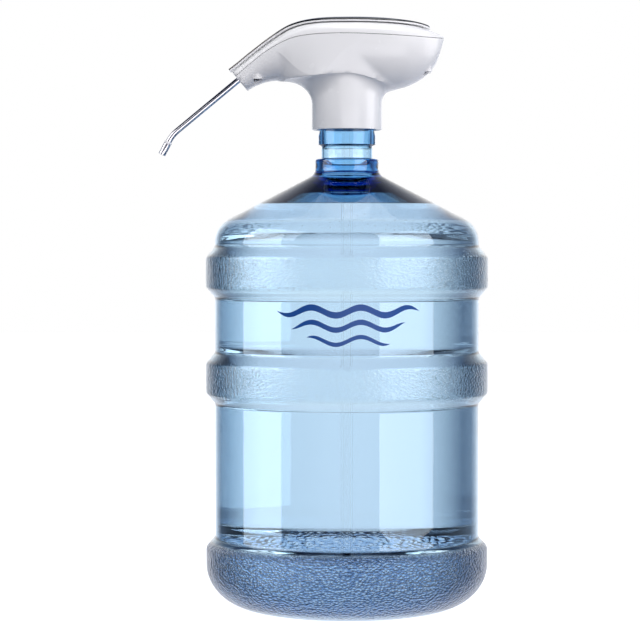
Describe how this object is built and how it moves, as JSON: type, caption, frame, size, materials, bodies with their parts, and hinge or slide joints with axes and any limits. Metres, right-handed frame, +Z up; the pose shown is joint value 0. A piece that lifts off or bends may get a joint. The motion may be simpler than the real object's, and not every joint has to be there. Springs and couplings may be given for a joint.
{
  "type": "countertop water dispenser",
  "caption": "Rechargeable pump head with a curved steel spout, sitting on the neck of a clear blue ringed water bottle.",
  "frame": {"origin": "on the bottle's axis at the surface it stands on, under the flat middle of its underside", "axes": "+Z up along the bottle's axis; the spout points to -X and the rear of the head to +X"},
  "size_m": [0.3182, 0.2728, 0.5715],
  "materials": {
    "bottle_wall": "clear blue blow-moulded polycarbonate, smooth wall with grained gripping rings",
    "shell_plastic": "white injection-moulded ABS, satin gloss",
    "panel_gloss": "piano-black gloss ABS",
    "button_grey": "satin dark grey ABS with a moulded ring",
    "inner_plastic": "dark grey glass-filled nylon",
    "clear_plastic": "clear food-grade polypropylene",
    "hose_silicone": "milky silicone hose",
    "seal_rubber": "soft light grey silicone",
    "flap_rubber": "soft white thermoplastic rubber",
    "spout_chrome": "polished stainless steel",
    "spring_steel": "drawn spring wire",
    "screw_steel": "zinc-plated steel",
    "motor_steel": "plated steel can",
    "gear_brass": "machined brass",
    "circuit_board": "green solder mask on fibreglass",
    "battery_wrap": "heat-shrunk cell wrap",
    "lead_insulation": "PVC insulation",
    "light_lens": "clear light pipe"
  },
  "bodies": {
    "bottle": {"bottle": "bottle_wall"},
    "seal": {"neck_seal": "seal_rubber"},
    "head": {"lower_shell": "shell_plastic", "upper_shell": "shell_plastic", "top_panel": "panel_gloss", "button_spring": "spring_steel", "switch": "panel_gloss", "control_board": "circuit_board", "status_light": "light_lens", "battery": "battery_wrap", "battery_tray": "inner_plastic", "battery_lead": "lead_insulation", "motor_lead": "lead_insulation", "pump_motor": "motor_steel", "motor_cradle": "inner_plastic", "gear_case": "inner_plastic", "pump_cover": "inner_plastic", "inlet_elbow": "clear_plastic", "inlet_hose": "hose_silicone", "outlet_hose": "hose_silicone", "suction_tube": "clear_plastic", "suction_strainer": "clear_plastic", "spout_socket": "inner_plastic", "spout_seal": "seal_rubber", "charge_board": "circuit_board", "charge_socket": "motor_steel", "housing_screw_front_left": "screw_steel", "housing_screw_front_right": "screw_steel", "housing_screw_rear_left": "screw_steel", "housing_screw_rear_right": "screw_steel"},
    "spout": {"spout_tube": "spout_chrome", "spout_nozzle": "spout_chrome", "nozzle_ring": "shell_plastic"},
    "button": {"dispense_button": "button_grey"},
    "flap": {"charge_flap": "flap_rubber"},
    "drive": {"drive_gear": "gear_brass"},
    "idler": {"idler_gear": "gear_brass"}
  },
  "joints": [
    {"name": "head_lift", "type": "slide", "parent": "bottle", "child": "seal", "axis": [0, 0, 1], "range_m": [0, 0.045]},
    {"name": "head_turn", "type": "hinge", "parent": "seal", "child": "head", "pos_m": [0, 0, 0.48992], "axis": [0, 0, 1], "continuous": true},
    {"name": "spout_turn", "type": "hinge", "parent": "head", "child": "spout", "pos_m": [-0.1046, 0, 0.51142], "axis": [-0.7705, 0, -0.6374], "range_deg": [-90, 90]},
    {"name": "button_press", "type": "slide", "parent": "head", "child": "button", "axis": [0, 0, -1], "range_m": [0, 0.0015], "stiffness_N_per_m": 900, "springref_m": -0.001, "deforming": ["button_spring"]},
    {"name": "flap_open", "type": "hinge", "parent": "head", "child": "flap", "pos_m": [0.08955, 0, 0.53581], "axis": [0, 1, 0], "range_deg": [0, 115]},
    {"name": "motor_spin", "type": "hinge", "parent": "head", "child": "drive", "pos_m": [0.002, -0.0135, 0.52092], "axis": [1, 0, 0], "continuous": true},
    {"name": "idler_spin", "type": "hinge", "parent": "head", "child": "idler", "pos_m": [0.002, -0.0135, 0.53352], "axis": [1, 0, 0], "continuous": true}
  ],
  "couplings": [
    {"joint": "idler_spin", "follows": "motor_spin", "ratio": -1}
  ]
}
